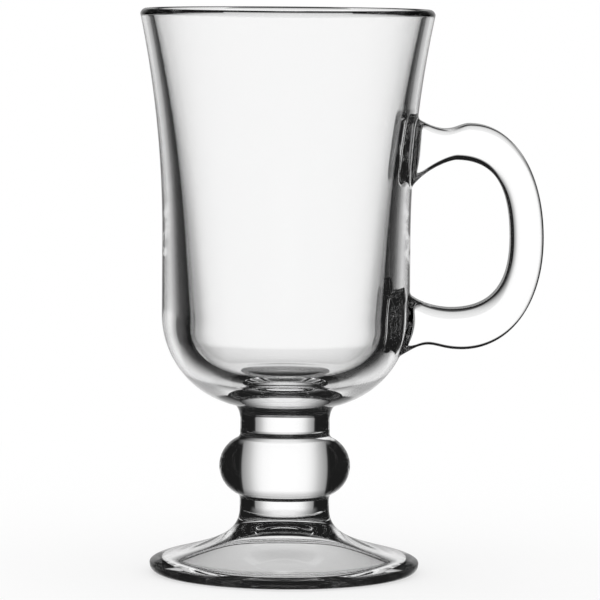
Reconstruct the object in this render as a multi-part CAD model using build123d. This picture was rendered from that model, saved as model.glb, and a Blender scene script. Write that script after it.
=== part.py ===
from build123d import *
import math
import os

# Irish coffee glass mug, in millimetres: a bowl, its loop handle, a stem with one knop and a foot,
# pressed one by one in clear glass and hot-joined face to face.
# Bowl, stem and foot turn about Z, the foot stands on z = 0 and the handle is on the +X side.

# Foot: a rounded edge, a sloping top swept up into a boss, and a hollow under it that follows the top
foot_diameter = 70.8
foot_height = 17.0
foot_edge_height = 2.6
foot_shoulder_inset = 4.4
foot_shoulder_height = 4.8
foot_slope = 14.5
foot_sweep_run = 13.0
foot_sweep_drop = 7.0
resting_ring_inset = 2.8
resting_ring_width = 1.2
ring_wall_height = 0.6
ring_wall_lean = 0.3
hollow_height = 13.0
hollow_slope = 14.0
hollow_dome_diameter = 18.0
hollow_dome_slope = 35.0

# Stem: two short necks with a round knop between them, opening into a weld collar at the top
stem_height = 27.2
neck_diameter = 23.5
knop_diameter = 34.4
knop_length = 15.2
knop_middle_height = 11.1
knop_blend = 1.5
weld_diameter = 26.2
weld_flare_height = 3.7

# Bowl: a rounded heel, a straight waist and a flare up to the fire-polished lip, heights from the weld
bowl_height = 103.8
waist_diameter = 65.0
heel_height = 23.8
flare_start_height = 44.4
lip_diameter = 77.0
lip_wall = 3.3
lip_round = 1.5
waist_wall = 5.8
heel_wall = 7.2
floor_thickness = 7.8
inner_heel_round = 14.0

# Handle: a flat bar bent into an ear, reaches from the waist's wall and heights from the weld
handle_width = 12.5
handle_edge_round = 1.8
handle_reach = 34.7
handle_outermost_height = 44.0
crown_reach = 15.4
crown_height = 74.2
crown_bar = 9.4
side_bar = 8.6
belly_reach = 13.4
belly_height = 15.3
belly_bar = 10.5
gap_crown_reach = 11.8
gap_belly_reach = 10.6
upper_root_rise = 2.2
upper_root_drop = 16.8
lower_root_rise = 14.9
lower_root_drop = 2.3
lower_root_top_inset = 1.0
lower_root_bottom_inset = 3.0
root_sink = 8.0

# Handle: where its side lines swing as they leave the roots and level out at the crown and the belly
crown_level_run = 3.9
crown_dip_reach = 9.9
crown_dip = 4.4
belly_level_run = 7.9
belly_rise_reach = 5.7
belly_rise = 3.8
gap_level_run = 1.6
gap_upper_swing_reach = 3.4
gap_upper_swing = 5.0
gap_lower_swing_reach = 2.4
gap_lower_swing = 0.5

# Shape factors of the curves: how full a bend is, where a quarter ellipse has 0.55
edge_fullness = 0.65
hollow_fullness = 0.8
bend_fullness = 0.59
gap_fullness = 0.68

# Radii and levels that follow from the sizes
foot_radius = foot_diameter / 2
neck_radius = neck_diameter / 2
knop_radius = knop_diameter / 2
weld_radius = weld_diameter / 2
waist_radius = waist_diameter / 2
lip_radius = lip_diameter / 2
weld_level = foot_height + stem_height
upper_root_top = crown_height + upper_root_rise
upper_root_bottom = crown_height - upper_root_drop
lower_root_top = belly_height + lower_root_rise
lower_root_bottom = belly_height - lower_root_drop


def between(start, end, share):
    """Point at a share of the way from start to end."""
    return (start[0] + share * (end[0] - start[0]), start[1] + share * (end[1] - start[1]))


def bend(start, corner, end, fullness):
    """Curve from start to end that leaves and arrives along the lines to the corner."""
    return Bezier(start, between(start, corner, fullness), between(end, corner, fullness), end)


def turned(outline, level):
    """Solid of revolution about Z from an outline of radius and height above a level."""
    return Pos(0, 0, level) * revolve(Plane.XZ * outline, Axis.Z)


def make_foot():
    """Foot: hollow, resting ring, rounded edge, sloping top and the sweep up to the boss."""
    ring_outer = foot_radius - resting_ring_inset
    ring_inner = ring_outer - resting_ring_width
    skirt = math.tan(math.radians(hollow_slope))
    steep = math.tan(math.radians(hollow_dome_slope))
    dome_radius = hollow_dome_diameter / 2
    dome_edge = (dome_radius, hollow_height - dome_radius * math.tan(math.radians(hollow_dome_slope / 2)))
    skirt_edge = (ring_inner - ring_wall_lean, ring_wall_height)
    dome_line = dome_edge[1] + steep * dome_radius
    skirt_line = skirt_edge[1] + skirt * skirt_edge[0]
    corner_radius = (dome_line - skirt_line) / (steep - skirt)
    hollow_corner = (corner_radius, skirt_line - skirt * corner_radius)
    shoulder = (foot_radius - foot_shoulder_inset, foot_shoulder_height)
    slope = math.tan(math.radians(foot_slope))
    widest = (foot_radius, foot_edge_height)
    edge_corner = (foot_radius, shoulder[1] - (foot_radius - shoulder[0]) * slope)
    sweep_start = (shoulder[0] - foot_sweep_run, shoulder[1] + foot_sweep_run * slope)
    boss = (neck_radius, foot_height)
    outline = make_face([
        Line((0, foot_height), (0, hollow_height)),
        TangentArc((0, hollow_height), dome_edge, tangent=(1, 0)),
        bend(dome_edge, hollow_corner, skirt_edge, hollow_fullness),
        Line(skirt_edge, (ring_inner, 0)),
        Line((ring_inner, 0), (ring_outer, 0)),
        bend((ring_outer, 0), (foot_radius, 0), widest, edge_fullness),
        bend(widest, edge_corner, shoulder, edge_fullness),
        Bezier(shoulder, sweep_start, (neck_radius, foot_height - foot_sweep_drop), boss),
        Line(boss, (0, foot_height)),
    ])
    return turned(outline, 0)


def make_stem():
    """Stem: neck, knop and neck, with soft creases beside the knop and a flared weld collar."""
    crease_low = (neck_radius, knop_middle_height - knop_length / 2)
    crease_high = (neck_radius, knop_middle_height + knop_length / 2)
    flare_foot = (neck_radius, stem_height - weld_flare_height)
    collar = (weld_radius, stem_height)
    outline = make_face([
        Line((0, stem_height), (0, 0)),
        Line((0, 0), (neck_radius, 0)),
        Line((neck_radius, 0), crease_low),
        ThreePointArc(crease_low, (knop_radius, knop_middle_height), crease_high),
        Line(crease_high, flare_foot),
        TangentArc(flare_foot, collar, tangent=(0, 1)),
        Line(collar, (0, stem_height)),
    ])
    creases = [outline.vertices().sort_by_distance((*point, 0))[0] for point in (crease_low, crease_high)]
    return turned(fillet(creases, knop_blend), foot_height)


def outer_wall():
    """Edges of the bowl's outside, from the weld up to the lip."""
    heel = (waist_radius, heel_height)
    flare = (waist_radius, flare_start_height)
    lip = (lip_radius, bowl_height - lip_round)
    return [
        TangentArc(heel, (weld_radius, 0), tangent=(0, -1)),
        Line(heel, flare),
        TangentArc(flare, lip, tangent=(0, 1)),
    ]


def make_bowl():
    """Bowl: outer wall, round lip and a tapered inside with a rounded heel over a thick floor."""
    lip_level = bowl_height - lip_round
    lip_inside = (lip_radius - lip_wall, lip_level)
    lip_top = (lip_radius - lip_wall / 2, bowl_height)
    flare_inside = (waist_radius - waist_wall, flare_start_height)
    heel_inside = (waist_radius - heel_wall, heel_height)
    draft = (flare_inside[0] - heel_inside[0]) / (flare_inside[1] - heel_inside[1])
    floor_corner = (heel_inside[0] - draft * (heel_height - floor_thickness), floor_thickness)
    outline = make_face([
        Line((0, floor_thickness), (0, 0)),
        Line((0, 0), (weld_radius, 0)),
        *outer_wall(),
        ThreePointArc((lip_radius, lip_level), lip_top, lip_inside),
        TangentArc(flare_inside, lip_inside, tangent=(draft, 1)),
        Line(flare_inside, floor_corner),
        Line(floor_corner, (0, floor_thickness)),
    ])
    corner = outline.vertices().sort_by_distance((*floor_corner, 0))[0]
    return turned(fillet([corner], inner_heel_round), weld_level)


def bowl_as_block():
    """The space inside the bowl's outer wall, filled to the lip, which the handle's roots fit against."""
    lip_level = bowl_height - lip_round
    outline = make_face([
        Line((0, lip_level), (0, 0)),
        Line((0, 0), (weld_radius, 0)),
        *outer_wall(),
        Line((lip_radius, lip_level), (0, lip_level)),
    ])
    return turned(outline, weld_level)


def make_handle():
    """Handle: the bar between an outer and an inner side line, with its edges rounded and its
    roots shaped to the bowl's wall."""
    wall = waist_radius
    sunk = wall - root_sink
    outermost = (wall + handle_reach, handle_outermost_height)
    crown = (wall + crown_reach, crown_height)
    belly = (wall + belly_reach, belly_height)
    gap_crown = (wall + gap_crown_reach, crown_height - crown_bar)
    gap_side = (wall + handle_reach - side_bar, handle_outermost_height)
    gap_belly = (wall + gap_belly_reach, belly_height + belly_bar)
    upper_top = (wall, upper_root_top)
    upper_bottom = (wall, upper_root_bottom)
    lower_top = (wall - lower_root_top_inset, lower_root_top)
    lower_bottom = (wall - lower_root_bottom_inset, lower_root_bottom)
    crown_dips = (wall + crown_dip_reach, crown_height - crown_dip)
    belly_rises = (wall + belly_rise_reach, belly_height + belly_rise)
    gap_upper_swings = (wall + gap_upper_swing_reach, upper_root_bottom + gap_upper_swing)
    gap_lower_swings = (wall + gap_lower_swing_reach, gap_belly[1] + gap_lower_swing)
    outer_line = [
        Bezier(upper_top, crown_dips, (crown[0] - crown_level_run, crown[1]), crown),
        bend(crown, (outermost[0], crown[1]), outermost, bend_fullness),
        bend(outermost, (outermost[0], belly[1]), belly, bend_fullness),
        Bezier(belly, (belly[0] - belly_level_run, belly[1]), belly_rises, lower_bottom),
    ]
    inner_line = [
        Bezier(lower_top, gap_lower_swings, (gap_belly[0] - gap_level_run, gap_belly[1]), gap_belly),
        bend(gap_belly, (gap_side[0], gap_belly[1]), gap_side, gap_fullness),
        bend(gap_side, (gap_side[0], gap_crown[1]), gap_crown, gap_fullness),
        Bezier(gap_crown, (gap_crown[0] - gap_level_run, gap_crown[1]), gap_upper_swings, upper_bottom),
    ]
    upper_end = Polyline(upper_bottom, (sunk, upper_root_bottom), (sunk, upper_root_top), upper_top)
    lower_end = Polyline(lower_bottom, (sunk, lower_root_bottom), (sunk, lower_root_top), lower_top)
    side = make_face([*outer_line, *lower_end.edges(), *inner_line, *upper_end.edges()])
    bar = extrude(Plane.XZ * side, amount=handle_width / 2, both=True)
    bar = fillet(bar.edges().filter_by(GeomType.BEZIER), handle_edge_round)
    return Pos(0, 0, weld_level) * bar - bowl_as_block()


os.makedirs("parts", exist_ok=True)
export_step(make_foot(), "parts/foot.step")
export_step(make_stem(), "parts/stem.step")
export_step(make_bowl(), "parts/bowl.step")
export_step(make_handle(), "parts/handle.step")
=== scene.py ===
import math

import bpy
import numpy as np
from mathutils import Matrix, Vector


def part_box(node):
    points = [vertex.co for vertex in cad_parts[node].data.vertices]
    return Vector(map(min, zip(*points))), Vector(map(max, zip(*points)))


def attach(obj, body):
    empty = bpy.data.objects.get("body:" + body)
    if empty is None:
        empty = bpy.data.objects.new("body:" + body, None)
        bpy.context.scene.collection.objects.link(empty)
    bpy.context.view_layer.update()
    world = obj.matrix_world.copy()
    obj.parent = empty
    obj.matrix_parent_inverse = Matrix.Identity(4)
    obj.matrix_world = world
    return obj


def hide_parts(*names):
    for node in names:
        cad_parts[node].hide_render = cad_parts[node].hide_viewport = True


# Irish coffee glass mug: the looks of its bowl, handle, stem and foot.
# Shapes are worked out in millimetres in the frame's own axes and put into the meshes in metres.

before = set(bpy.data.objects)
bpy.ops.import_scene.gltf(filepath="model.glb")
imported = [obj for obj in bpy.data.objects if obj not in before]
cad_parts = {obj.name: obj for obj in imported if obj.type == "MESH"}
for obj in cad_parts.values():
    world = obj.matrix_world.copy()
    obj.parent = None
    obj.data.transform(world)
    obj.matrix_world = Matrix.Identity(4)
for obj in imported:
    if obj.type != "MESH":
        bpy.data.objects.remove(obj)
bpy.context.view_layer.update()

MM = 0.001


def box_mm(node):
    """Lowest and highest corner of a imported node, in millimetres."""
    return [np.round(np.array(corner) / MM, 3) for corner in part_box(node)]


# Sizes that the frame gives
foot_radius, boss_level = box_mm("foot")[1][[0, 2]]
knop_radius, weld_level = box_mm("stem")[1][[0, 2]]
lip_radius, lip_top = box_mm("bowl")[1][[0, 2]]
handle_outermost, handle_half_width = box_mm("handle")[1][[0, 1]]

# Foot, heights from the table
foot_edge_height = 2.6
foot_shoulder_radius = 31.0
foot_shoulder_height = 4.8
foot_slope = math.tan(math.radians(14.5))
foot_sweep_run = 13.0
foot_sweep_drop = 7.0
ring_outer_radius = 32.6
ring_inner_radius = 31.4
ring_wall_height = 0.6
ring_wall_lean = 0.3
hollow_height = 13.0
hollow_slope = 14.0
hollow_dome_radius = 9.0
hollow_dome_slope = 35.0
hollow_fullness = 0.8
edge_fullness = 0.65

# Stem, heights from the boss of the foot
neck_radius = 11.75
knop_half_length = 7.6
knop_middle_height = 11.1
knop_blend = 1.5
weld_radius = 13.1
weld_flare_height = 3.7

# Bowl, heights from the weld
bowl_height = lip_top - weld_level
waist_radius = 32.5
heel_height = 23.8
flare_start_height = 44.4
lip_wall = 3.3
lip_round = 1.5
waist_wall = 5.8
heel_wall = 7.2
floor_thickness = 7.8
inner_heel_round = 14.0

# Handle, reaches from the waist's wall and heights from the weld
handle_outermost_height = 44.0
crown_reach = 15.4
crown_height = 74.2
crown_bar = 9.4
side_bar = 8.6
belly_reach = 13.4
belly_height = 15.3
belly_bar = 10.5
gap_crown_reach = 11.8
gap_belly_reach = 10.6
upper_root_top = 76.4
upper_root_bottom = 57.4
lower_root_top = 30.2
lower_root_bottom = 13.0
lower_root_top_inset = 1.0
lower_root_bottom_inset = 3.0
outer_edge_round = 2.0
inner_edge_round = 3.0
side_flare = 2.4
line_flare = 1.0

# Handle: where its side lines swing as they leave the roots and level out at the crown and the belly
crown_level_run = 3.9
crown_dip_reach = 9.9
crown_dip = 4.4
belly_level_run = 7.9
belly_rise_reach = 5.7
belly_rise = 3.8
gap_level_run = 1.6
gap_upper_swing_reach = 3.4
gap_upper_swing = 5.0
gap_lower_swing_reach = 2.4
gap_lower_swing = 0.5
bend_fullness = 0.59
gap_fullness = 0.68

# Mesh fineness: columns round the axis, millimetres between rows of the bowl's outside, faces across the
# handle's corners, width and thickness, rows of its fillets and its bar, rows of the patch round a root, and
# how the rings of a root's seam shrink
columns = 240
row_step = 0.65
corner_faces = 5
width_faces = 14
thickness_faces = 30
flare_rows = 12
bar_rows = 120
patch_rows = 7
root_shrink = [0.75, 0.5, 0.25]
root_columns = 2 * corner_faces + width_faces
root_rows = 2 * corner_faces + thickness_faces

# Search for the place where a line of the handle leaves the wall: shares along the bar, tries, small step
upper_search = (-0.06, 0.2)
lower_search = (1.06, 0.8)
search_tries = 400
share_step = 0.002


# Lines of an outline, each an array of points

def straight(start, end, count):
    """Points at even steps from start to end."""
    return np.linspace(start, end, count)


def bezier(corners, count):
    """Cubic curve: the four corners weighted by the Bernstein polynomials of a share from 0 to 1."""
    share = np.linspace(0, 1, count)[:, None]
    a, b, c, d = np.array(corners, float)
    rest = 1 - share
    return rest**3 * a + 3 * rest**2 * share * b + 3 * rest * share**2 * c + share**3 * d


def toward(start, end, share):
    """Point at a share of the way from start to end."""
    return tuple(np.array(start) + share * (np.array(end) - np.array(start)))


def bend_corners(start, corner, end, fullness):
    """Corners of the cubic that leaves start and reaches end along the lines to the corner."""
    return [start, toward(start, corner, fullness), toward(end, corner, fullness), end]


def arc(centre, radius, first, last, count):
    """Points of a circle about the centre between two angles in degrees."""
    angle = np.radians(np.linspace(first, last, count))
    return np.array(centre) + radius * np.stack([np.cos(angle), np.sin(angle)], 1)


def swing(start, heading, end, count):
    """Arc that leaves start along the heading and ends at end: its chord turns by half the arc's own turn,
    and its centre lies beside start at half the chord's square over the chord's sideways reach."""
    start, end = np.array(start, float), np.array(end, float)
    heading = np.array(heading, float) / np.linalg.norm(heading)
    side = np.array([-heading[1], heading[0]])
    chord = end - start
    reach = chord @ side
    radius = chord @ chord / (2 * reach)
    turn = 2 * math.atan2(reach, chord @ heading)
    angle = np.linspace(0, turn, count)[:, None]
    return start + radius * (np.sin(angle) * heading + (1 - np.cos(angle)) * side)


# Meshes

class Skin:
    """Points, faces and corner normals of one closed piece, gathered patch by patch."""

    def __init__(self):
        self.points = []
        self.faces = []
        self.normals = []
        self.seams = []
        self.count = 0

    def add_points(self, points):
        """Adds a grid of points and gives their indices in the same grid."""
        first = self.count
        self.count += points[..., 0].size
        self.points.append(points.reshape(-1, 3))
        return np.arange(first, self.count).reshape(points.shape[:-1])

    def add_faces(self, corners, normals, seam=False):
        """Adds faces from an array of corner indices and an array of the normals at those corners."""
        sides = corners.shape[-1]
        self.faces += corners.reshape(-1, sides).tolist()
        self.normals.append(normals.reshape(-1, 3))
        self.seams.append(np.full(corners.size // sides, seam))

    def add_grid(self, index, normals, seam=False, inward=False, keep=None):
        """Adds the four-sided faces between neighbouring rows and columns of a grid of points.
        Outward is the turn from along a row to the next row; keep picks some of the faces."""
        corners = np.stack([index[:-1, :-1], index[:-1, 1:], index[1:, 1:], index[1:, :-1]], 2)
        at = np.stack([normals[:-1, :-1], normals[:-1, 1:], normals[1:, 1:], normals[1:, :-1]], 2)
        if inward:
            corners, at = corners[:, :, ::-1], at[:, :, ::-1]
        if keep is not None:
            corners, at = corners[keep], at[keep]
        self.add_faces(corners, at, seam)

    def add_fan(self, pole, ring, pole_normal, ring_normals, seam=False, inward=False):
        """Adds three-sided faces from a pole to each step of a closed ring."""
        after = np.roll(ring, -1)
        corners = np.stack([ring, after, np.full_like(ring, pole)], 1)
        middle = np.broadcast_to(pole_normal, ring_normals.shape)
        at = np.stack([ring_normals, np.roll(ring_normals, -1, 0), middle], 1)
        if inward:
            corners, at = corners[:, ::-1], at[:, ::-1]
        self.add_faces(corners, at, seam)

    def make(self, name, glass, seam):
        """Puts the gathered arrays into a mesh that stands for the node of the same name."""
        mesh = bpy.data.meshes.new(name)
        mesh.from_pydata(np.concatenate(self.points) * MM, [], self.faces)
        mesh.materials.append(glass)
        mesh.materials.append(seam)
        mesh.polygons.foreach_set("material_index", np.concatenate(self.seams).astype(np.int32))
        mesh.polygons.foreach_set("use_smooth", np.ones(len(mesh.polygons), bool))
        mesh.normals_split_custom_set(np.concatenate(self.normals))
        piece = bpy.data.objects.new(name + "_glass", mesh)
        bpy.context.scene.collection.objects.link(piece)
        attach(piece, "root")
        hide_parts(name)


# Directions round the axis, of which the last is the first again
angles = np.linspace(0, 2 * np.pi, columns + 1)
spokes = np.stack([np.cos(angles), np.sin(angles)], 1)
spokes[-1] = spokes[0]


def turn(skin, runs, level, windows=None):
    """Turns an outline about Z and gives the grid of indices of each of its runs. A run is an array of
    radius and height above the level, and says whether it is a seam. It starts where the last one ended, and
    its normal lies square to its own slope, to the right of the way it runs. A run that starts or ends on the
    axis closes with a fan round a pole."""
    grids = []
    last_row = None
    for run, seam in runs:
        slope = np.gradient(run, axis=0, edge_order=2 if len(run) > 2 else 1)
        across = np.stack([slope[:, 1], -slope[:, 0]], 1) / np.linalg.norm(slope, axis=1)[:, None]
        size = (len(run), columns + 1, 1)
        height = np.broadcast_to(run[:, 1:, None] + level, size)
        points = np.concatenate([run[:, :1, None] * spokes, height], 2)
        lean = np.broadcast_to(across[:, 1:, None], size)
        normals = np.concatenate([across[:, :1, None] * spokes, lean], 2)
        from_axis, to_axis = run[0, 0] == 0, run[-1, 0] == 0
        first = 1 if from_axis or last_row is not None else 0
        stop = len(run) - 1 if to_axis else len(run)
        index = skin.add_points(points[first:stop, :-1])
        if last_row is not None:
            index = np.concatenate([last_row[None], index])
        body = normals[1 if from_axis else 0:stop]
        closed = np.concatenate([index, index[:, :1]], 1)
        keep = None if windows is None else windows(run, len(grids))
        skin.add_grid(closed, body, seam, keep=keep)
        for on_axis, end in ((from_axis, 0), (to_axis, -1)):
            if on_axis:
                pole = skin.add_points(points[end, 0])
                pole_normal = normals[end, 0] * [0, 0, 1]
                skin.add_fan(int(pole), index[end], pole_normal, body[end, :-1], seam, inward=end == 0)
        last_row = index[-1]
        grids.append(index)
    return grids


# Foot and stem

def foot_runs():
    """Outline of the foot: hollow, resting ring, rounded edge, slope and sweep up to the boss. The hollow is
    an arc of a circle over the axis, then a cubic that bends round the corner where the arc's last slope
    meets the skirt's. The last number of a line, here and below, is how many points it has."""
    shoulder = (foot_shoulder_radius, foot_shoulder_height)
    widest = (foot_radius, foot_edge_height)
    edge_corner = (foot_radius, shoulder[1] - (foot_radius - shoulder[0]) * foot_slope)
    sweep = (shoulder[0] - foot_sweep_run, shoulder[1] + foot_sweep_run * foot_slope)
    boss = (neck_radius, boss_level)
    dome_radius = hollow_dome_radius / math.sin(math.radians(hollow_dome_slope))
    dome = arc((0, hollow_height - dome_radius), dome_radius, 90, 90 - hollow_dome_slope, 24)
    dome[0, 0] = 0
    skirt = math.tan(math.radians(hollow_slope))
    steep = math.tan(math.radians(hollow_dome_slope))
    wall_top = (ring_inner_radius - ring_wall_lean, ring_wall_height)
    reach = (dome[-1, 1] + steep * dome[-1, 0] - wall_top[1] - skirt * wall_top[0]) / (steep - skirt)
    hollow_corner = (reach, wall_top[1] + skirt * (wall_top[0] - reach))
    return [
        (dome, False),
        (bezier(bend_corners(tuple(dome[-1]), hollow_corner, wall_top, hollow_fullness), 50), False),
        (straight(wall_top, (ring_inner_radius, 0), 8), False),
        (straight((ring_inner_radius, 0), (ring_outer_radius, 0), 8), False),
        (bezier(bend_corners((ring_outer_radius, 0), (foot_radius, 0), widest, edge_fullness), 30), False),
        (bezier(bend_corners(widest, edge_corner, shoulder, edge_fullness), 24), False),
        (bezier([shoulder, sweep, (neck_radius, boss_level - foot_sweep_drop), boss], 70), False),
        (straight(boss, (0, boss_level), 2), True),
    ]


def stem_runs():
    """Outline of the stem: neck, knop as an arc of a circle, neck, and a collar that opens to the weld.
    The soft crease beside the knop is a circle that touches the neck and the knop from outside."""
    height = weld_level - boss_level
    bulge = knop_radius - neck_radius
    radius = (knop_half_length**2 + bulge**2) / (2 * bulge)
    middle = (knop_radius - radius, knop_middle_height)
    reach = neck_radius + knop_blend - middle[0]
    rise = math.sqrt((radius + knop_blend)**2 - reach**2)
    touch = math.degrees(math.atan2(rise, reach))
    low = (neck_radius + knop_blend, knop_middle_height - rise)
    high = (neck_radius + knop_blend, knop_middle_height + rise)
    collar = (weld_radius, height)
    collar_foot = (neck_radius, height - weld_flare_height)
    return [
        (straight((0, 0), (neck_radius, 0), 2), True),
        (straight((neck_radius, 0), (neck_radius, low[1]), 6), False),
        (arc(low, knop_blend, 180, 180 - touch, 10), False),
        (arc(middle, radius, -touch, touch, 60), False),
        (arc(high, knop_blend, 180 + touch, 180, 10), False),
        (straight((neck_radius, high[1]), collar_foot, 8), False),
        (swing(collar_foot, (0, 1), collar, 12), False),
        (straight(collar, (0, height), 2), True),
    ]


# Bowl

heel_radius = ((waist_radius - weld_radius)**2 + heel_height**2) / (2 * (waist_radius - weld_radius))
flare_reach = lip_radius - waist_radius
flare_rise = bowl_height - lip_round - flare_start_height
flare_radius = (flare_reach**2 + flare_rise**2) / (2 * flare_reach)


def wall_slope(height):
    """Radius of the bowl's outer wall at a height above the weld, and how fast it grows with height: a
    circle round the heel, a straight waist and a wide circle up the flare."""
    below = np.clip(heel_height - height, 0, heel_height)
    above = np.clip(height - flare_start_height, 0, None)
    heel_drop = np.sqrt(heel_radius**2 - below**2)
    flare_drop = np.sqrt(flare_radius**2 - above**2)
    radius = waist_radius - heel_radius + heel_drop + flare_radius - flare_drop
    return radius, below / heel_drop + above / flare_drop


def on_wall(turn_angle, height):
    """Points of the outer wall at angles round the axis and heights above the weld, with their normals."""
    radius, growth = wall_slope(height)
    around = np.stack([np.cos(turn_angle), np.sin(turn_angle)], -1)
    points = np.concatenate([radius[..., None] * around, height[..., None] + weld_level], -1)
    normals = np.concatenate([around, -growth[..., None]], -1)
    return points, normals / np.linalg.norm(normals, axis=-1)[..., None]


def outer_run():
    """The outer wall from the weld to the lip at even steps along its length."""
    top = bowl_height - lip_round
    fine = np.concatenate([
        swing((waist_radius, heel_height), (0, -1), (weld_radius, 0), 400)[::-1],
        straight((waist_radius, heel_height), (waist_radius, flare_start_height), 100)[1:],
        swing((waist_radius, flare_start_height), (0, 1), (lip_radius, top), 400)[1:],
    ])
    along = np.concatenate([[0], np.cumsum(np.linalg.norm(np.diff(fine, axis=0), axis=1))])
    even = np.linspace(0, along[-1], round(along[-1] / row_step))
    return np.stack([np.interp(even, along, fine[:, axis]) for axis in (0, 1)], 1)


def lip_and_inside_runs():
    """The round lip as an arc through three points, then the inside: a flare, a drafted wall, a rounded heel
    and the floor. The heel's circle touches the drafted wall and the floor."""
    top = bowl_height - lip_round
    half = lip_wall / 2
    radius = (half**2 + lip_round**2) / (2 * lip_round)
    tilt = math.degrees(math.asin((radius - lip_round) / radius))
    flare_inside = (waist_radius - waist_wall, flare_start_height)
    heel_inside = (waist_radius - heel_wall, heel_height)
    draft = (flare_inside[0] - heel_inside[0]) / (flare_inside[1] - heel_inside[1])
    lean = math.hypot(1, draft)
    round_level = floor_thickness + inner_heel_round
    wall_there = heel_inside[0] - draft * (heel_height - round_level)
    round_centre = (wall_there - inner_heel_round * lean, round_level)
    touch = (round_centre[0] + inner_heel_round / lean, round_level - inner_heel_round * draft / lean)
    lean_angle = math.degrees(math.atan(draft))
    return [
        (arc((lip_radius - half, bowl_height - radius), radius, tilt, 180 - tilt, 24), False),
        (swing(flare_inside, (draft, 1), (lip_radius - lip_wall, top), 90)[::-1], False),
        (straight(flare_inside, touch, 36), False),
        (arc(round_centre, inner_heel_round, -lean_angle, -90, 50), False),
        (straight((round_centre[0], floor_thickness), (0, floor_thickness), 14), False),
    ]


# Handle

def off_wall(reach, height):
    """Point of the handle's side view so far out from the waist's wall, at a height above the weld."""
    return (waist_radius + reach, height)


outermost = (handle_outermost, handle_outermost_height)
crown = off_wall(crown_reach, crown_height)
belly = off_wall(belly_reach, belly_height)
gap_crown = off_wall(gap_crown_reach, crown_height - crown_bar)
gap_side = (handle_outermost - side_bar, handle_outermost_height)
gap_belly = off_wall(gap_belly_reach, belly_height + belly_bar)

# The outer and the inner side line, each four cubics from the upper root round to the lower one
handle_outer = np.array([
    [off_wall(0, upper_root_top), off_wall(crown_dip_reach, crown_height - crown_dip),
     (crown[0] - crown_level_run, crown[1]), crown],
    bend_corners(crown, (outermost[0], crown[1]), outermost, bend_fullness),
    bend_corners(outermost, (outermost[0], belly[1]), belly, bend_fullness),
    [belly, (belly[0] - belly_level_run, belly[1]), off_wall(belly_rise_reach, belly_height + belly_rise),
     off_wall(-lower_root_bottom_inset, lower_root_bottom)],
])
handle_inner = np.array([
    [off_wall(0, upper_root_bottom), off_wall(gap_upper_swing_reach, upper_root_bottom + gap_upper_swing),
     (gap_crown[0] - gap_level_run, gap_crown[1]), gap_crown],
    bend_corners(gap_crown, (gap_side[0], gap_crown[1]), gap_side, gap_fullness),
    bend_corners(gap_side, (gap_side[0], gap_belly[1]), gap_belly, gap_fullness),
    [gap_belly, (gap_belly[0] - gap_level_run, gap_belly[1]),
     off_wall(gap_lower_swing_reach, gap_belly[1] + gap_lower_swing),
     off_wall(-lower_root_top_inset, lower_root_top)],
])


def along(line, share):
    """Points of a line of cubic curves at shares of its length from 0 to 1, and a little past both ends."""
    count = len(line)
    which = np.clip(np.floor(share * count), 0, count - 1).astype(int)
    local = (share * count - which)[..., None]
    a, b, c, d = np.moveaxis(line[which], -2, 0)
    rest = 1 - local
    return rest**3 * a + 3 * rest**2 * local * b + 3 * rest * local**2 * c + local**3 * d


def bar_ring():
    """The bar's section as a rounded rectangle, one entry per point: the corner circle's place across the
    width, its place across the thickness as a share of the half thickness and a shift, its radius, and the
    angle of the normal. Each of the four faces runs from the middle of one corner to that of the next."""
    edge = np.array([inner_edge_round, inner_edge_round, outer_edge_round, outer_edge_round])
    width = (handle_half_width - edge) * [-1, 1, 1, -1]
    sign = np.array([-1.0, -1.0, 1.0, 1.0])
    corners = np.stack([width, sign, -sign * edge, edge])[..., None]
    corner_turn = np.linspace(0, 45, corner_faces + 1)
    rows = []
    for face in range(4):
        faces = width_faces if face % 2 == 0 else thickness_faces
        flat = np.linspace(0, 1, faces + 1)
        share = np.concatenate([np.zeros(corner_faces), flat, np.ones(corner_faces)])
        tilt = np.concatenate([corner_turn[:-1] - 45, np.zeros(faces + 1), corner_turn[1:]])
        placed = (1 - share) * corners[:, face] + share * corners[:, (face + 1) % 4]
        rows.append(np.concatenate([placed, tilt[None] + 90 * face - 90])[:, :-1])
    return np.concatenate(rows, 1)


def bar_point(share, ring):
    """Points of the bar at shares along it: the middle between its two side lines, plus the section's own
    offsets across the thickness and the width. Also gives the direction across the thickness."""
    width, sign, shift, edge, tilt = ring
    outer, inner = along(handle_outer, share), along(handle_inner, share)
    middle, half = (outer + inner) / 2, (outer - inner) / 2
    thickness = np.linalg.norm(half, axis=-1)
    across = half / thickness[..., None]
    offset = sign * thickness + shift + edge * np.sin(np.radians(tilt))
    flat = middle + offset[..., None] * across
    side = np.broadcast_to(width + edge * np.cos(np.radians(tilt)), share.shape)
    return np.stack([flat[..., 0], side, flat[..., 1] + weld_level], -1), across


def wall_gap(points):
    """How far points stand outside the bowl's outer wall, measured level."""
    return np.hypot(points[..., 0], points[..., 1]) - wall_slope(points[..., 2] - weld_level)[0]


def wall_share(ring, start, stop):
    """Share along the bar, for each point of its section, where its line leaves the wall: the last try that
    is still inside, moved on in proportion to the gaps there and at the next try."""
    share = np.linspace(start, stop, search_tries)[:, None]
    shares = np.broadcast_to(share, (search_tries, ring.shape[1]))
    gap = wall_gap(bar_point(shares, ring)[0])
    last = search_tries - 1 - np.argmax(gap[::-1] < 0, 0)
    pick = np.arange(ring.shape[1])
    low, high = gap[last, pick], gap[last + 1, pick]
    step = share[1, 0] - share[0, 0]
    return share[last, 0] + step * low / (low - high)


def bar_speed(share, ring):
    """Millimetres of each line of the bar per whole share, from the points a small step before and after."""
    ahead = bar_point(share + share_step, ring)[0]
    behind = bar_point(share - share_step, ring)[0]
    return np.linalg.norm(ahead - behind, axis=-1) / (2 * share_step)


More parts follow.
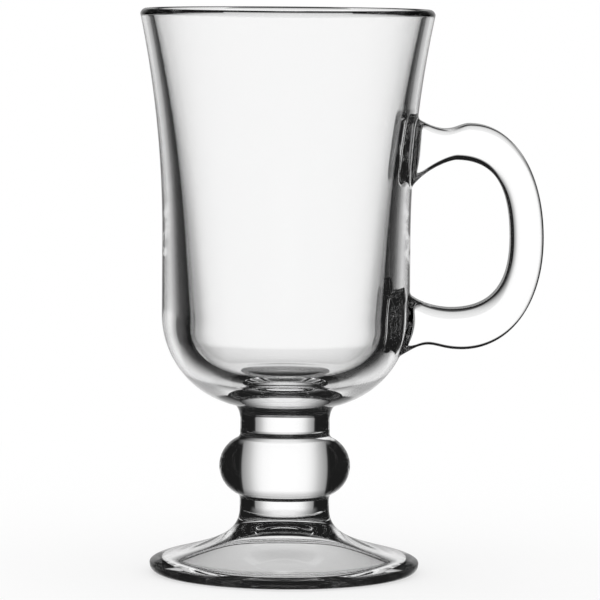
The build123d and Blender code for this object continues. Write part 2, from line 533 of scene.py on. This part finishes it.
def flare(distance, reach):
    """Outward offset of a fillet of that radius at a distance from the wall: a quarter circle."""
    left = np.clip(reach - distance, 0, reach)
    return reach - np.sqrt(reach**2 - left**2)


def handle_grid():
    """Rows of the bar's section from the upper root to the lower one. Each line of it starts and ends on the
    bowl's wall; close to the wall it flares by a fillet and is drawn level onto the wall."""
    ring = bar_ring()
    first, last = wall_share(ring, *upper_search), wall_share(ring, *lower_search)
    quarter = 1 - np.cos(np.linspace(0, np.pi / 2, flare_rows + 1))[:, None]
    upper = first + quarter * side_flare / bar_speed(first, ring)
    lower = last - quarter[::-1] * side_flare / bar_speed(last, ring)
    between = upper[-1] + np.linspace(0, 1, bar_rows + 1)[1:-1, None] * (lower[0] - upper[-1])
    share = np.concatenate([upper, between, lower])
    points, across = bar_point(share, ring)
    steps = np.linalg.norm(np.diff(points, axis=0), axis=-1)
    from_upper = np.concatenate([np.zeros((1, ring.shape[1])), np.cumsum(steps, 0)])
    from_lower = from_upper[-1] - from_upper
    tilt = np.radians(ring[4])
    opening = np.minimum(from_upper, from_lower)
    sideways = np.cos(tilt) * flare(opening, side_flare)
    thickening = np.sin(tilt) * flare(opening, line_flare)
    points[..., 0] += thickening * across[..., 0]
    points[..., 1] += sideways
    points[..., 2] += thickening * across[..., 1]
    nearness = np.stack([flare(from_upper, side_flare), flare(from_lower, side_flare)]) / side_flare
    for end, share_near in ((0, nearness[0]), (-1, nearness[1])):
        radius = wall_slope(points[end, :, 2] - weld_level)[0]
        shift = np.sqrt(radius**2 - points[end, :, 1]**2) - points[end, :, 0]
        points[..., 0] += shift * share_near
    return points


def grid_normals(points):
    """Normals of a grid that is closed along its rows: the cross product of its two slopes."""
    wrapped = np.concatenate([points[:, -1:], points, points[:, :1]], 1)
    along_ring = (wrapped[:, 2:] - wrapped[:, :-2]) / 2
    along_bar = np.gradient(points, axis=0, edge_order=2)
    normals = np.cross(along_ring, along_bar)
    return normals / np.linalg.norm(normals, axis=-1)[..., None]


def root_disc(skin, ring, ring_points, inward):
    """Closes a handle root with a seam on the wall: rings that shrink, in angle and height, to a middle
    point."""
    turn_angle = np.arctan2(ring_points[:, 1], ring_points[:, 0])
    height = ring_points[:, 2] - weld_level
    shrink = np.array(root_shrink)[:, None]
    points, normals = on_wall(turn_angle.mean() + shrink * (turn_angle - turn_angle.mean()),
                              height.mean() + shrink * (height - height.mean()))
    index = np.concatenate([ring[None], skin.add_points(points)])
    normals = np.concatenate([on_wall(turn_angle, height)[1][None], normals])
    closed = np.concatenate([index, index[:, :1]], 1)
    closed_normals = np.concatenate([normals, normals[:, :1]], 1)
    skin.add_grid(closed, closed_normals, seam=True, inward=inward)
    middle, middle_normal = on_wall(turn_angle.mean(keepdims=True), height.mean(keepdims=True))
    pole = skin.add_points(middle[0])
    skin.add_fan(int(pole), index[-1], middle_normal[0], normals[-1], seam=True, inward=inward)


# Pieces

def make_handle(points, glass, seam):
    """Handle: the grid of the bar, closed at both roots."""
    skin = Skin()
    index = skin.add_points(points)
    normals = grid_normals(points)
    skin.add_grid(np.concatenate([index, index[:, :1]], 1), np.concatenate([normals, normals[:, :1]], 1))
    root_disc(skin, index[0], points[0], inward=True)
    root_disc(skin, index[-1], points[-1], inward=False)
    skin.make("handle", glass, seam)


def make_bowl(handle_points, glass, seam):
    """Bowl: its outline turned about Z, with the outer wall opened in two windows behind the handle's roots
    and each window filled by a patch that runs from the window to the root."""
    skin = Skin()
    wall = outer_run()
    roots = []
    for ring_points, inner_side_low in ((handle_points[0], True), (handle_points[-1], False)):
        height = ring_points[:, 2] - weld_level
        rows = np.interp([height.min(), height.max()], wall[:, 1], np.arange(len(wall)))
        low = round(rows.mean() - root_rows / 2)
        roots.append((ring_points, inner_side_low, low, low + root_rows))
    half = root_columns // 2

    def windows(run, number):
        """Faces of a run that stay; the outer wall is run 1, and a run on the axis keeps all."""
        keep = np.ones((len(run) - 1, columns), bool)
        if number == 1:
            for _, _, low, high in roots:
                keep[low:high, :half] = False
                keep[low:high, -half:] = False
        return keep if run[0, 0] > 0 and run[-1, 0] > 0 else None

    runs = [(straight((0, 0), (weld_radius, 0), 2), True), (wall, False), *lip_and_inside_runs()]
    grid = turn(skin, runs, weld_level, windows)[1]
    side = np.arange(-half, half + 1)
    for ring_points, inner_side_low, low, high in roots:
        rows = np.arange(low, high + 1) if inner_side_low else np.arange(high, low - 1, -1)
        ring_rows = np.concatenate([np.full(root_columns, rows[0]), rows[:-1],
                                    np.full(root_columns, rows[-1]), rows[:0:-1]])
        ring_columns = np.concatenate([side[:-1], np.full(root_rows, half), side[:0:-1],
                                       np.full(root_rows, -half)])
        border = grid[ring_rows, ring_columns % columns]
        border_angle = ring_columns * 2 * np.pi / columns
        border_height = wall[ring_rows, 1]
        angle = np.arctan2(ring_points[:, 1], ring_points[:, 0])
        height = ring_points[:, 2] - weld_level
        share = np.linspace(0, 1, patch_rows)[:, None]
        points, normals = on_wall(border_angle + share * (angle - border_angle),
                                  border_height + share * (height - border_height))
        points[-1] = ring_points
        index = np.concatenate([border[None], skin.add_points(points[1:])])
        skin.add_grid(np.concatenate([index, index[:, :1]], 1),
                      np.concatenate([normals, normals[:, :1]], 1), inward=not inner_side_low)
        root_disc(skin, index[-1], ring_points, inward=not inner_side_low)
    skin.make("bowl", glass, seam)


def make_turned(name, runs, level, glass, seam):
    """A piece that is only its outline turned about Z."""
    skin = Skin()
    turn(skin, runs, level)
    skin.make(name, glass, seam)


# Materials

# Pressed glass, in millimetres: crest to crest and depth of the ripple in its skin
ripple_length = 9
ripple_depth = 0.006


def linear(hex_colour):
    """Linear colour of an sRGB hex value, with full alpha."""
    parts = np.array([int(hex_colour[i:i + 2], 16) for i in (1, 3, 5)]) / 255
    low = parts / 12.92
    high = ((parts + 0.055) / 1.055) ** 2.4
    return (*np.where(parts <= 0.04045, low, high), 1.0)


def node(tree, kind, settings=None, **links):
    """Adds a node, sets its properties or socket values, and links sockets by name."""
    made = tree.nodes.new(kind)
    for key, value in (settings or {}).items():
        if isinstance(key, str) and hasattr(made, key):
            setattr(made, key, value)
        else:
            made.inputs[key].default_value = value
    for key, source in links.items():
        socket = made.inputs[int(key[1:])] if key[1:].isdigit() else made.inputs[key.replace("_", " ")]
        tree.links.new(source, socket)
    return made


def new_material(name):
    """A material with an empty node tree and its output node."""
    material = bpy.data.materials.new(name)
    material.use_nodes = True
    tree = material.node_tree
    tree.nodes.clear()
    return material, tree, tree.nodes.new("ShaderNodeOutputMaterial")


def pressed_soda_lime_glass():
    """Soda-lime glass, pressed in an iron mould and fire-polished: colourless, with a mirror-smooth skin and
    the slow ripple that the mould's chill leaves, which makes what is seen through it waver."""
    material, tree, output = new_material("pressed_soda_lime_glass")
    place = node(tree, "ShaderNodeTexCoord")
    ripple = node(tree, "ShaderNodeTexNoise", {"Scale": 1 / (ripple_length * MM), "Detail": 1.0},
                  Vector=place.outputs["Object"])
    skin = node(tree, "ShaderNodeBump", {"Strength": 1.0, "Distance": ripple_depth * MM},
                Height=ripple.outputs["Fac"])
    shader = node(tree, "ShaderNodeBsdfPrincipled", {
        "Base Color": linear("#ffffff"), "Roughness": 0.0, "IOR": 1.52, "Transmission Weight": 1.0,
    }, Normal=skin.outputs["Normal"])
    tree.links.new(shader.outputs["BSDF"], output.inputs["Surface"])
    return material


def fused_seam():
    """The face where two pieces of hot glass ran into one: no surface is left there, so nothing shows."""
    material, tree, output = new_material("fused_seam")
    shader = node(tree, "ShaderNodeBsdfPrincipled", {
        "Base Color": linear("#ffffff"), "Alpha": 0.0, "IOR": 1.0,
    })
    tree.links.new(shader.outputs["BSDF"], output.inputs["Surface"])
    return material


# Studio

# Table, in millimetres: a disc just under the foot. Its own glow takes over from its paint outward.
table_radius = 350.0
table_drop = 0.05
table_rings = 40
table_columns = 120
glow_from = 40
glow_to = 300
glow_least = 0.6

# The grey patch of the table that shows through the glass, an emission of painted shadow where the mug shades
# the table: its brightness, darker in the middle with the stem's painted shadow, where it fades out beyond
# the foot, how many faces of glass a path to it may cross under the hollow and under the foot's edge, and how
# many a mirroring counts for
painted_shadow_grey = 0.74
painted_stem_shadow_grey = 0.62
patch_middle_from = 2.0
patch_middle_to = 13.0
patch_fade_from = 36
patch_fade_to = 50
patch_hollow_radius = 31
hollow_faces = 2
edge_faces = 4
mirror_as_faces = 5

# How bright the surroundings are, as stops of degrees and brightness: the lit backdrop by angle round from
# straight behind and by angle up, and the table behind the mug by the same two angles. The table darkens
# steeply downward, where it lies close to the mug: painted shadow of the mug.
backdrop_around = [
    (0, 1.1), (8, 1.09), (13, 1.05), (16, 0.97), (19, 0.83),
    (23, 0.58), (26, 0.45), (30, 0.3), (31.5, 0.03), (36, 0.0),
]
backdrop_up = [(-24, 0.0), (-10, 1.0), (12, 1.0), (15, 0.4), (18, 0.0)]
table_around = [(0, 1.0), (9, 0.95), (16, 0.72), (24, 0.42), (32, 0.16), (38, 0.03), (42, 0.0)]
# Painted shadow: the table grows dark at steep angles down, close to the mug
table_up = [(-70, 0.0), (-50, 0.05), (-40, 0.15), (-34, 0.75), (-19, 0.9), (-12, 0.95), (-8, 0.0)]
dark_room = 0.012

# Share of the backdrop that is left where the outside of the glass mirrors it, as through a polarising filter
outer_mirror = 0.4

# White screens at the other sides, seen straight through the glass only: degrees round, degrees up and half
# width, and the degrees over which their edge fades
screens = [
    (180, 0, 30), (90, 0, 18), (-90, 0, 18), (-45, -29, 13),
    (135, -15, 18), (-135, -15, 18), (180, -62, 40),
]
screen_fade = 4

# Most faces of glass that a path may cross or be mirrored by
light_bounces = 32

# Camera, fitted to the photograph's outline: millimetres and degrees
sensor_width = 36.0
lens_length = 264.0
camera_place = (3.7, -1150, 166)
camera_tip = 4.684
camera_roll = 0.44


def white_table_top():
    """Table top in matt white paint. To the eye it is white with the mug's soft shadow, and its glow lets
    the far edge melt into the backdrop. Glass shows only the grey patch of it, an emission of painted shadow,
    darker in the middle where the stem's shadow is painted, on paths that no face has mirrored and that
    crossed few faces; every other path goes on to the surroundings."""
    material, tree, output = new_material("white_table_top")
    place = node(tree, "ShaderNodeTexCoord")
    path = node(tree, "ShaderNodeLightPath")
    reach = node(tree, "ShaderNodeVectorMath", {"operation": "LENGTH"}, _0=place.outputs["Object"])
    share = node(tree, "ShaderNodeMapRange", {
        "interpolation_type": "SMOOTHSTEP", "From Min": glow_from * MM, "From Max": glow_to * MM,
        "To Min": glow_least, "To Max": 1.0,
    }, Value=reach.outputs["Value"])
    paint = node(tree, "ShaderNodeBsdfDiffuse", {"Color": linear("#ffffff")})
    glow = node(tree, "ShaderNodeEmission", {"Color": linear("#ffffff"), "Strength": 1.0})
    painted = node(tree, "ShaderNodeMixShader", None, _0=share.outputs["Result"],
                   _1=paint.outputs["BSDF"], _2=glow.outputs["Emission"])
    # Painted shadow: the table under the foot glows grey to the glass, darker in the middle for the stem's
    # shadow
    grey = node(tree, "ShaderNodeMapRange", {
        "interpolation_type": "SMOOTHSTEP", "From Min": patch_middle_from * MM,
        "From Max": patch_middle_to * MM, "To Min": painted_stem_shadow_grey, "To Max": painted_shadow_grey,
    }, Value=reach.outputs["Value"])
    patch = node(tree, "ShaderNodeEmission", {"Color": linear("#ffffff")}, Strength=grey.outputs["Result"])
    faded = node(tree, "ShaderNodeMapRange", {
        "interpolation_type": "SMOOTHSTEP", "From Min": patch_fade_from * MM, "From Max": patch_fade_to * MM,
    }, Value=reach.outputs["Value"])
    under_edge = node(tree, "ShaderNodeMath", {"operation": "GREATER_THAN", 1: patch_hollow_radius * MM},
                      _0=reach.outputs["Value"])
    allowed = node(tree, "ShaderNodeMath", {
        "operation": "MULTIPLY_ADD", 1: edge_faces - hollow_faces, 2: hollow_faces + 0.5,
    }, _0=under_edge.outputs["Value"])
    crossed = node(tree, "ShaderNodeMath", {"operation": "MULTIPLY_ADD", 1: mirror_as_faces},
                   _0=path.outputs["Glossy Depth"], _2=path.outputs["Transmission Depth"])
    too_deep = node(tree, "ShaderNodeMath", {"operation": "GREATER_THAN"},
                    _0=crossed.outputs["Value"], _1=allowed.outputs["Value"])
    hidden = node(tree, "ShaderNodeMath", {"operation": "MAXIMUM"},
                  _0=faded.outputs["Result"], _1=too_deep.outputs["Value"])
    clear = node(tree, "ShaderNodeBsdfTransparent")
    beneath = node(tree, "ShaderNodeMixShader", None, _0=hidden.outputs["Value"],
                   _1=patch.outputs["Emission"], _2=clear.outputs["BSDF"])
    through = node(tree, "ShaderNodeMath", {"operation": "MAXIMUM"},
                   _0=path.outputs["Is Glossy Ray"], _1=path.outputs["Is Transmission Ray"])
    top = node(tree, "ShaderNodeMixShader", None, _0=through.outputs["Value"],
               _1=painted.outputs["Shader"], _2=beneath.outputs["Shader"])
    tree.links.new(top.outputs["Shader"], output.inputs["Surface"])
    return material


def make_table():
    """A round table top: a polar grid with a fan in its middle."""
    radius = np.linspace(0, table_radius, table_rings)[1:]
    around = np.linspace(0, 2 * np.pi, table_columns + 1)[:-1]
    level = np.full((len(radius), len(around)), -table_drop)
    points = np.stack([np.outer(radius, np.cos(around)), np.outer(radius, np.sin(around)), level], 2)
    skin = Skin()
    index = skin.add_points(points)
    pole = skin.add_points(np.array([0, 0, -table_drop]))
    up = np.zeros_like(points) + [0, 0, 1]
    closed = np.concatenate([index, index[:, :1]], 1)
    skin.add_grid(closed, np.concatenate([up, up[:, :1]], 1), inward=True)
    skin.add_fan(int(pole), index[0], [0, 0, 1], up[0])
    mesh = bpy.data.meshes.new("table_top")
    mesh.from_pydata(np.concatenate(skin.points) * MM, [], skin.faces)
    mesh.materials.append(white_table_top())
    table = bpy.data.objects.new("table_top", mesh)
    bpy.context.scene.collection.objects.link(table)


def brightness(tree, angle, stops, low, high):
    """Brightness that follows stops along an angle that runs from low to high."""
    share = node(tree, "ShaderNodeMapRange", {"From Min": low, "From Max": high}, Value=angle)
    made = node(tree, "ShaderNodeValToRGB", None, Fac=share.outputs["Result"])
    elements = made.color_ramp.elements
    while len(elements) < len(stops):
        elements.new(0.5)
    for element, (place, value) in zip(elements, stops):
        element.position = (place - low) / (high - low)
        element.color = (value, value, value, 1.0)
    return made.outputs["Color"]


def angle_from(tree, heading, turn_angle, rise):
    """Degrees between a heading and the direction that lies so many degrees round and up."""
    a, e = math.radians(turn_angle), math.radians(rise)
    middle = (math.sin(a) * math.cos(e), math.cos(a) * math.cos(e), math.sin(e))
    nearness = node(tree, "ShaderNodeVectorMath", {"operation": "DOT_PRODUCT", 1: middle}, _0=heading)
    away = node(tree, "ShaderNodeMath", {"operation": "ARCCOSINE"}, _0=nearness.outputs["Value"])
    return node(tree, "ShaderNodeMath", {"operation": "DEGREES"}, _0=away.outputs["Value"]).outputs["Value"]


def make_studio():
    """Bright-field light, as glass is lit to draw its edges dark: a backdrop and a table that are white
    straight behind the mug and fade outward into a dark room. Glass shows these. The camera and the table's
    paint get plain white from all around, and the screens show only on paths that no face has mirrored."""
    world = bpy.data.worlds.new("studio")
    bpy.context.scene.world = world
    world.use_nodes = True
    tree = world.node_tree
    tree.nodes.clear()
    heading = node(tree, "ShaderNodeTexCoord").outputs["Generated"]
    path = node(tree, "ShaderNodeLightPath")
    part = node(tree, "ShaderNodeSeparateXYZ", None, _0=heading)
    turned = node(tree, "ShaderNodeMath", {"operation": "ARCTAN2"},
                  _0=part.outputs["X"], _1=part.outputs["Y"])
    off_middle = node(tree, "ShaderNodeMath", {"operation": "ABSOLUTE"}, _0=turned.outputs["Value"])
    raised = node(tree, "ShaderNodeMath", {"operation": "ARCSINE"}, _0=part.outputs["Z"])
    around = node(tree, "ShaderNodeMath", {"operation": "DEGREES"}, _0=off_middle.outputs["Value"])
    up = node(tree, "ShaderNodeMath", {"operation": "DEGREES"}, _0=raised.outputs["Value"])
    backdrop, table = [
        node(tree, "ShaderNodeMath", {"operation": "MULTIPLY"},
             _0=brightness(tree, around.outputs["Value"], stops_around, 0, 180),
             _1=brightness(tree, up.outputs["Value"], stops_up, -90, 90))
        for stops_around, stops_up in ((backdrop_around, backdrop_up), (table_around, table_up))
    ]
    mirrored = node(tree, "ShaderNodeMath", {"operation": "GREATER_THAN", 1: 0.5},
                    _0=path.outputs["Glossy Depth"])
    unmirrored = node(tree, "ShaderNodeMath", {"operation": "SUBTRACT", 0: 1.0}, _1=mirrored.outputs["Value"])
    outside = node(tree, "ShaderNodeMath", {"operation": "GREATER_THAN"},
                   _0=mirrored.outputs["Value"], _1=path.outputs["Transmission Depth"])
    kept = node(tree, "ShaderNodeMapRange", {"To Min": 1.0, "To Max": outer_mirror},
                Value=outside.outputs["Value"])
    filtered = node(tree, "ShaderNodeMath", {"operation": "MULTIPLY"},
                    _0=backdrop.outputs["Value"], _1=kept.outputs["Result"])
    light = node(tree, "ShaderNodeMath", {"operation": "MAXIMUM"},
                 _0=filtered.outputs["Value"], _1=table.outputs["Value"])
    for turn_angle, rise, half in screens:
        away = angle_from(tree, heading, turn_angle, rise)
        screen = brightness(tree, away, [(half - screen_fade, 1.0), (half, 0.0)], 0, 180)
        seen = node(tree, "ShaderNodeMath", {"operation": "MULTIPLY"},
                    _0=screen, _1=unmirrored.outputs["Value"])
        light = node(tree, "ShaderNodeMath", {"operation": "MAXIMUM"},
                     _0=light.outputs["Value"], _1=seen.outputs["Value"])
    room = node(tree, "ShaderNodeMath", {"operation": "MAXIMUM", 1: dark_room}, _0=light.outputs["Value"])
    through = node(tree, "ShaderNodeMath", {"operation": "MAXIMUM"},
                   _0=path.outputs["Is Glossy Ray"], _1=path.outputs["Is Transmission Ray"])
    white = node(tree, "ShaderNodeBackground", {"Color": linear("#ffffff"), "Strength": 1.0})
    bright_field = node(tree, "ShaderNodeBackground", {"Color": linear("#ffffff")},
                        Strength=room.outputs["Value"])
    shown = node(tree, "ShaderNodeMixShader", None, _0=through.outputs["Value"],
                 _1=white.outputs["Background"], _2=bright_field.outputs["Background"])
    output = node(tree, "ShaderNodeOutputWorld")
    tree.links.new(shown.outputs["Shader"], output.inputs["Surface"])


def make_camera():
    """A long lens a little above the rim, square to the handle's plane, tipped down and a touch rolled."""
    camera = bpy.data.objects.new("camera", bpy.data.cameras.new("camera"))
    camera.data.sensor_width = sensor_width
    camera.data.lens = lens_length
    place = Matrix.Translation([value * MM for value in camera_place])
    tip = Matrix.Rotation(math.radians(90 - camera_tip), 4, "X")
    roll = Matrix.Rotation(math.radians(camera_roll), 4, "Z")
    camera.matrix_world = place @ tip @ roll
    bpy.context.scene.collection.objects.link(camera)
    bpy.context.scene.camera = camera


glass = pressed_soda_lime_glass()
seam = fused_seam()
handle_points = handle_grid()
make_turned("foot", foot_runs(), 0.0, glass, seam)
make_turned("stem", stem_runs(), boss_level, glass, seam)
make_bowl(handle_points, glass, seam)
make_handle(handle_points, glass, seam)
make_table()
make_studio()
make_camera()
scene = bpy.context.scene
scene.view_settings.view_transform = "Standard"
scene.cycles.max_bounces = light_bounces
scene.cycles.transmission_bounces = light_bounces
scene.cycles.glossy_bounces = light_bounces
scene.cycles.transparent_max_bounces = light_bounces
